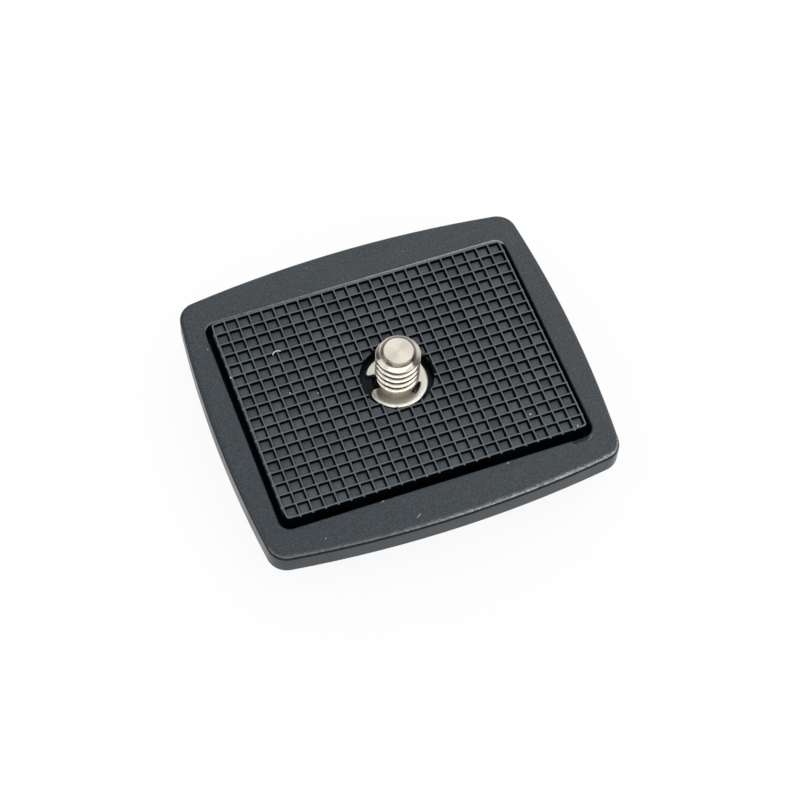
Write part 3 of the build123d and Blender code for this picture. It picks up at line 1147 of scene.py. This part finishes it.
@dataclass
class CameraScrew:
    """The captive screw: its solid's head and neck, with a real thread in place of the plain shank."""

    tip: float
    shoulder: float = 10.55 * MM
    cut_below: float = 0.05 * MM
    merge_distance: float = 0.001 * MM
    neck_radius: float = 2.5 * MM
    major_radius: float = 3.15 * MM
    thread_pitch: float = 1.27 * MM
    thread_depth: float = 0.72 * MM
    crest_flat: float = 0.28
    root_flat: float = 0.10
    flank_ease: float = 0.4
    tip_radius: float = 2.1 * MM
    tip_chamfer: float = 0.85 * MM
    lower_chamfer: float = 0.35 * MM
    tip_rounding: float = 0.07 * MM
    tip_bends: Tuple[float, float, int] = (0.2, 1.0, 4)
    tip_rings: Tuple[float, ...] = (0.9, 0.7, 0.45, 0.2, 0.02)
    rows_per_pitch: int = 36
    fine_spans: int = 3
    sharp_degrees: float = 32.0

    def neck_below(self, solid: SceneObject) -> Tuple[np.ndarray, List[List[int]], np.ndarray]:
        """Copies the solid below the thread, with its points merged.

        Args:
            solid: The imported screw.

        Returns:
            The copy's points, its faces, and its open edge's point indices, anticlockwise from above.
        """
        copy = bmesh.new()
        copy.from_mesh(solid.data)
        bmesh.ops.remove_doubles(copy, verts=copy.verts, dist=self.merge_distance)
        everything = list(copy.verts) + list(copy.edges) + list(copy.faces)
        level = (0.0, 0.0, self.shoulder - self.cut_below)
        up = (0.0, 0.0, 1.0)
        bmesh.ops.bisect_plane(copy, geom=everything, plane_co=level, plane_no=up, clear_outer=True)
        copy.verts.index_update()
        points = np.array([vert.co for vert in copy.verts])
        faces = [[vert.index for vert in face.verts] for face in copy.faces]
        open_edges = [edge for edge in copy.edges if edge.is_boundary]
        rim = np.array(sorted({vert.index for edge in open_edges for vert in edge.verts}))
        copy.free()
        turn = np.arctan2(points[rim, 1], points[rim, 0])
        return points, faces, rim[np.argsort(turn)]

    def thread_radius(self, turn: np.ndarray, z: np.ndarray) -> np.ndarray:
        """The screw's radius at an angle and a height.

        The thread climbs one pitch a turn, anticlockwise from above, so it is right-handed. Across one
        pitch the radius stays at the crest, falls along an eased flank to the root and climbs again.
        Cones at both ends cut it off.

        Args:
            turn: Angles about Z.
            z: Heights.

        Returns:
            The radii.
        """
        phase = np.mod((z - self.shoulder) / self.thread_pitch - turn / (2 * np.pi), 1.0)
        from_crest = np.abs(2.0 * phase - 1.0)
        flank = (from_crest - self.crest_flat) / (1.0 - self.crest_flat - self.root_flat)
        straight = np.clip(flank, 0.0, 1.0)
        depth = self.thread_depth * (straight + self.flank_ease * (ease(flank) - straight))
        tip_slope = (self.major_radius - self.tip_radius) / self.tip_chamfer
        upper = self.tip_radius + (self.tip - z) * tip_slope
        lower_slope = (self.major_radius - self.neck_radius) / self.lower_chamfer
        lower = np.maximum(self.neck_radius + (z - self.shoulder) * lower_slope, self.neck_radius)
        return np.minimum(np.minimum(self.major_radius - depth, upper), lower)

    def threaded_end(self, turn: np.ndarray) -> np.ndarray:
        """Rows of points from the neck up the thread and over the flat tip to its middle.

        Args:
            turn: The angles of the points in each row.

        Returns:
            An array of rows by angles by three.
        """
        rise = self.tip - self.tip_rounding - self.shoulder
        count = int(self.rows_per_pitch * rise / self.thread_pitch)
        heights = self.shoulder + rise * np.linspace(0.0, 1.0, count)
        z, angle = np.meshgrid(heights, turn, indexing="ij")
        side = self.thread_radius(angle, z)
        bend = np.linspace(*self.tip_bends) * np.pi / 2
        round_radii = self.tip_radius - self.tip_rounding * (1.0 - np.cos(bend))
        round_heights = self.tip - self.tip_rounding * (1.0 - np.sin(bend))
        flat_radii = self.tip_radius * np.array(self.tip_rings)
        cap_radii = np.concatenate([round_radii, flat_radii])
        cap_heights = np.concatenate([round_heights, np.full(len(flat_radii), self.tip)])
        radius = np.concatenate([side, np.repeat(cap_radii[:, None], len(turn), axis=1)])
        height = np.concatenate([z, np.repeat(cap_heights[:, None], len(turn), axis=1)])
        return np.stack([radius * np.cos(turn), radius * np.sin(turn), height], axis=-1)

    def build(self, solid: SceneObject, finish: Material) -> SceneObject:
        """Builds the screw and puts it in the place of its solid.

        Each span of the neck's open edge meets several spans of the thread's first row in one face.

        Args:
            solid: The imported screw.
            finish: The nickel.

        Returns:
            The screw.
        """
        points, faces, rim = self.neck_below(solid)
        turn = np.arctan2(points[rim, 1], points[rim, 0])
        span = np.mod(np.roll(turn, -1) - turn, 2 * np.pi)
        steps = np.arange(self.fine_spans) / self.fine_spans
        fine = (turn[:, None] + span[:, None] * steps[None, :]).ravel()
        rows = self.threaded_end(fine)
        columns = len(fine)
        base = len(points)
        thread = (grid_quads(len(rows), columns, ring=True) + base).tolist()
        pole = (base + (len(rows) - 1) * columns + np.arange(columns)).tolist()
        starts = np.arange(len(rim))[:, None] * self.fine_spans
        above = base + np.mod(starts + np.arange(self.fine_spans + 1), columns)
        stitch = np.column_stack([rim, np.roll(rim, -1), above[:, ::-1]]).tolist()
        everything = np.concatenate([points, rows.reshape(-1, 3)])
        all_faces = faces + stitch + thread + [pole]
        mesh = mesh_from("threaded_screw", everything, all_faces, self.sharp_degrees)
        screw = place_piece(mesh, finish)
        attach(screw, Body.SCREW.value)
        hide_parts(Solid.CAMERA_SCREW.value)
        return screw


@dataclass
class RetainingClip:
    """The spring clip: a stamped C with three prongs on the screw's neck and rolled edges.

    Pairs are for the near side of its opening and for the far side.
    """

    low: Vector
    high: Vector
    outer_radius: float = 4.52 * MM
    band: float = 1.2 * MM
    inner_radius: float = 2.05 * MM
    back_prong: float = 1.35 * MM
    end_prong: float = 4.0 * MM
    end_prong_turn: float = math.radians(105.0)
    half_openings: Pair = (0.8 * MM, 1.5 * MM)
    opening_turn: float = math.radians(172.0)
    corner_runs: Pair = (1.7 * MM, 0.7 * MM)
    corner_drops: Pair = (0.95 * MM, 0.5 * MM)
    corner_fullness: float = 0.98
    edge_rounding: float = 0.16 * MM
    edge_rolls: Pair = (0.2 * MM, 0.02 * MM)
    roll_width: float = 0.75 * MM
    prong_curve: float = math.radians(7.0)
    bow: float = 0.03 * MM
    spans_round: int = 420
    end_crowding: float = math.radians(55.8)
    spans_across: int = 10
    spans_corner: int = 4
    sharp_degrees: float = 50.0

    def inner_edge(self, turn: np.ndarray) -> np.ndarray:
        """The clip's inner radius at an angle from the middle of its back.

        A prong of half width h about the angle a reaches in to the neck where |turn - a| is less than the
        angle whose sine is h over the prong's middle radius. Its sides curve out to the band. The end
        prongs go on to the opening as whole lobes.

        Args:
            turn: Angles from the back prong.

        Returns:
            The inner radii.
        """
        from_back = np.abs(turn)
        before_end = np.clip(self.end_prong_turn - from_back, 0.0, None)
        open_edge = self.outer_radius - self.band
        middle = (self.inner_radius + open_edge) / 2
        share = np.ones_like(turn)
        for away, width in ((from_back, self.back_prong), (before_end, self.end_prong)):
            beside = away - math.asin(width / 2 / middle)
            share = np.minimum(share, ease(0.5 + beside / self.prong_curve))
        return self.inner_radius + (open_edge - self.inner_radius) * share

    def section(self) -> np.ndarray:
        """A rounded rectangle, as shares of its width and height and as rounded offsets.

        Returns:
            Four rows with one column for each point, going round once: its side of the width, its side
            of the height, and its two corner offsets in edge roundings.
        """
        bend = np.linspace(0.0, np.pi / 2, self.spans_corner + 1)
        along = np.linspace(0.0, 1.0, self.spans_across + 1)[1:-1]
        opening, closing = 1.0 - np.sin(bend), 1.0 - np.cos(bend)
        one, none = np.ones(len(bend)), np.zeros(len(bend))
        upper, flat = np.ones(len(along)), np.zeros(len(along))
        parts = (
            (one, none, -opening, closing),
            (one, one, -closing, -opening),
            (along[::-1], upper, 1.0 - 2.0 * along[::-1], flat),
            (none, one, opening, -closing),
            (none, none, closing, opening),
            (along, flat, 1.0 - 2.0 * along, flat),
        )
        return np.concatenate([np.stack(part) for part in parts], axis=1)

    def build(self, finish: Material) -> SceneObject:
        """Builds the clip and puts it in the place of its solid.

        The section runs round the C from one side of the opening to the other. Its angle is scaled so
        that both ends are flat and parallel, and its outer corners there are rounded.

        Args:
            finish: The nickel.

        Returns:
            The clip.
        """
        steps = np.linspace(-1.0, 1.0, self.spans_round + 1)
        share = np.sin(steps * self.end_crowding) / math.sin(self.end_crowding)
        near = share < 0.0
        middle = self.outer_radius - self.band / 2
        half_opening = np.where(near, *self.half_openings)
        inner = self.inner_edge(share * (np.pi - np.arcsin(half_opening / middle)))
        to_end = (1.0 - np.abs(share)) * np.pi * middle
        corner = 1.0 - to_end / np.where(near, *self.corner_runs)
        drop = np.where(near, *self.corner_drops)
        outer = self.outer_radius - drop * arc_drop(corner, self.corner_fullness)
        end_edge = 1.0 - to_end / self.edge_rounding
        tuck = (self.edge_rounding * arc_drop(end_edge, self.corner_fullness))[:, None]
        wide, tall, in_wide, in_tall = self.section()
        left = inner[:, None] + tuck
        right = outer[:, None] - tuck
        radius = left + (right - left) * wide + self.edge_rounding * in_wide
        height = self.high.z - self.low.z - 2 * tuck
        z = self.low.z + tuck + height * tall + self.edge_rounding * in_tall
        outwards = np.clip(1.0 - (right - radius) / self.roll_width, 0.0, 1.0)
        near_roll, far_roll = self.edge_rolls
        roll = near_roll + (far_roll - near_roll) * ease(0.5 + share)
        z = z - roll[:, None] * tall * outwards**2
        limit = np.pi - np.arcsin(np.clip(half_opening[:, None] / radius, 0.0, 1.0))
        turn = share[:, None] * limit + self.opening_turn + np.pi
        across = radius * np.sin(turn - self.opening_turn)
        z = z + self.bow * (across / self.outer_radius) ** 2
        points = np.stack([radius * np.cos(turn), radius * np.sin(turn), z], axis=-1)
        faces = tube_faces(*radius.shape)
        mesh = mesh_from("spring_clip", points.reshape(-1, 3), faces, self.sharp_degrees)
        whole = bmesh.new()
        whole.from_mesh(mesh)
        bmesh.ops.recalc_face_normals(whole, faces=whole.faces)
        whole.to_mesh(mesh)
        whole.free()
        clip = place_piece(mesh, finish)
        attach(clip, Body.CLIP.value)
        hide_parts(Solid.RETAINING_CLIP.value)
        return clip


@dataclass(frozen=True)
class Softbox:
    """A studio light that points at the plate. Its brightness is 1 where it looks plain white."""

    name: str
    position: Point
    width: float
    height: float
    brightness: float

    def build(self) -> SceneObject:
        """Makes the light and turns it to the origin. Its power is pi times area times brightness."""
        data = bpy.data.lights.new(self.name, "AREA")
        data.shape = "RECTANGLE"
        data.size = self.width
        data.size_y = self.height
        data.energy = math.pi * self.width * self.height * self.brightness
        light = bpy.data.objects.new(self.name, data)
        light.location = self.position
        light.rotation_mode = "QUATERNION"
        light.rotation_quaternion = (-Vector(self.position)).to_track_quat("-Z", "Y")
        bpy.context.scene.collection.objects.link(light)
        return light


@dataclass(frozen=True)
class Studio:
    """A pale floor, soft light from above and behind, and the photograph's viewpoint."""

    camera_position: Point = (-63.97 * MM, -148.90 * MM, 273.37 * MM)
    camera_right: Point = (0.93616, -0.35019, 0.03106)
    camera_forward: Point = (0.20522, 0.47262, -0.85704)
    focal_pixels: float = 2210.4
    image_pixels: float = 800.0
    sensor_width: float = 36.0
    view_range: Pair = (1.0 * MM, 50.0)
    floor_side: float = 6.0
    floor_opening: Pair = (40.4 * MM, 34.4 * MM)
    floor_colour: Colour = (0.88, 0.88, 0.88, 1.0)
    floor_glow: Ramp = (26.0 * MM, 52.0 * MM, 0.92, 1.0)
    room_white: Colour = (1.0, 1.0, 1.0, 1.0)
    horizon_glow: Ramp = (0.20, 0.30, 0.95, 0.06)
    softboxes: Tuple[Softbox, ...] = (
        Softbox("overhead_softbox", (0.03, -0.26, 0.68), 1.20, 0.84, 1.75),
        Softbox("back_softbox", (0.48, 0.60, 0.75), 1.2, 0.90, 1.32),
        Softbox("left_softbox", (-0.53, 0.22, 0.56), 0.60, 0.50, 1.2),
    )

    def camera(self) -> SceneObject:
        """Places the camera by its right and forward directions."""
        data = bpy.data.cameras.new("photo_view")
        data.sensor_width = self.sensor_width
        data.lens = self.focal_pixels / self.image_pixels * self.sensor_width
        data.clip_start, data.clip_end = self.view_range
        right = Vector(self.camera_right).normalized()
        forward = Vector(self.camera_forward).normalized()
        up = right.cross(forward)
        turn = Matrix((right, up, -forward)).transposed().to_4x4()
        view = bpy.data.objects.new("photo_view", data)
        view.matrix_world = Matrix.Translation(self.camera_position) @ turn
        bpy.context.scene.collection.objects.link(view)
        bpy.context.scene.camera = view
        return view

    def floor_paint(self) -> Material:
        """Matt white paint, clear from below. It glows where it is looked at, so its shadow stays faint.

        Returns:
            The material.
        """
        paint = bpy.data.materials.new("floor_paint")
        paint.use_nodes = True
        sheet = NodeSheet(paint.node_tree)
        sheet.tree.nodes.clear()
        path = sheet.add("ShaderNodeLightPath").outputs
        seen = sheet.largest(path["Is Camera Ray"], path["Is Glossy Ray"], path["Is Transmission Ray"])
        place = sheet.add("ShaderNodeTexCoord").outputs["Object"]
        share = sheet.product(seen, sheet.ramp(sheet.vector("LENGTH", place), *self.floor_glow))
        matt = sheet.add("ShaderNodeBsdfDiffuse", self.floor_colour).outputs[0]
        glow = sheet.add("ShaderNodeEmission").outputs[0]
        white = sheet.add("ShaderNodeMixShader", share, matt, glow).outputs[0]
        below = sheet.add("ShaderNodeNewGeometry").outputs["Backfacing"]
        clear = sheet.add("ShaderNodeBsdfTransparent").outputs[0]
        either = sheet.add("ShaderNodeMixShader", below, white, clear).outputs[0]
        sheet.add("ShaderNodeOutputMaterial", either)
        return paint

    def floor(self) -> SceneObject:
        """Lays the pale floor under the foot, open where the foot covers it so that the underside shows.

        Returns:
            The floor.
        """
        signs = np.array([[-1.0, -1.0, 0.0], [1.0, -1.0, 0.0], [1.0, 1.0, 0.0], [-1.0, 1.0, 0.0]])
        outer = signs * self.floor_side / 2
        inner = signs * np.array([*self.floor_opening, 0.0]) / 2
        mesh = bpy.data.meshes.new("pale_floor")
        sides = [[0, 1, 5, 4], [1, 2, 6, 5], [2, 3, 7, 6], [3, 0, 4, 7]]
        mesh.from_pydata(np.concatenate([outer, inner]).tolist(), [], sides)
        floor = place_piece(mesh, self.floor_paint())
        return floor

    def sky(self) -> None:
        """Lights the room dimly from above, and shows a pale band behind the floor's far edge."""
        world = bpy.data.worlds.new("studio_room")
        world.use_nodes = True
        sheet = NodeSheet(world.node_tree)
        sheet.tree.nodes.clear()
        _, _, rise = sheet.split(sheet.add("ShaderNodeTexCoord").outputs["Generated"])
        glow = sheet.ramp(rise, *self.horizon_glow)
        room = sheet.add("ShaderNodeBackground", self.room_white, glow).outputs[0]
        sheet.add("ShaderNodeOutputWorld", room)
        bpy.context.scene.world = world

    def build(self) -> None:
        """Sets up the whole studio and the plain view settings."""
        self.camera()
        self.floor()
        self.sky()
        for softbox in self.softboxes:
            softbox.build()
        bpy.context.scene.view_settings.view_transform = "Standard"


def dress(solid: Solid, finish: Material) -> SceneObject:
    """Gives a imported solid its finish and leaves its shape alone."""
    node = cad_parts[solid.value]
    node.data.materials.clear()
    node.data.materials.append(finish)
    return node


def main() -> None:
    """Builds the studio, the finishes and the pieces in order."""
    logging.basicConfig(level=logging.INFO, format="%(name)s: %(message)s")
    Studio().build()
    groups = SharedGroups()

    plate_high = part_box(Solid.BASE_PLATE.value)[1]
    plastic = MouldedPlastic().build(groups, plate_high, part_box(Solid.GRIP_PAD.value)[1])
    plate = dress(Solid.BASE_PLATE, plastic)

    pad_parts = GripPad(*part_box(Solid.GRIP_PAD.value))
    rubber = PadRubber().build(groups, pad_parts.pitch, pad_parts.high, pad_parts.waffle_depth)
    pad = pad_parts.build(rubber)

    screw_parts = CameraScrew(tip=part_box(Solid.CAMERA_SCREW.value)[1].z)
    root = screw_parts.major_radius - screw_parts.thread_depth
    turned = BrightNickel(
        "screw_nickel",
        silver=(0.72, 0.68, 0.60, 1.0),
        tarnish=(0.62, 0.575, 0.49, 1.0),
        turned_dull=0.14,
        streak=0.8,
    )
    screw_nickel = turned.build(groups, root, screw_parts.major_radius)
    screw = screw_parts.build(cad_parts[Solid.CAMERA_SCREW.value], screw_nickel)

    stamped = BrightNickel(
        "clip_nickel",
        silver=(0.63, 0.60, 0.54, 1.0),
        tarnish=(0.55, 0.52, 0.455, 1.0),
        mark_strength=0.05,
        ring_share=0.0,
        smooth=0.30,
        dull=0.40,
    )
    clip = RetainingClip(*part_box(Solid.RETAINING_CLIP.value)).build(stamped.build(groups))

    wire = BrightNickel("wire_nickel", mark_strength=0.03, ring_share=0.0, smooth=0.18, dull=0.32)
    ring = dress(Solid.D_RING, wire.build(groups))

    for piece in (pad, screw, clip):
        log.info("%s has %d faces", piece.name, len(piece.data.polygons))
    for piece in (plate, ring):
        log.info("%s keeps its solid", piece.name)


if __name__ == "__main__":
    main()
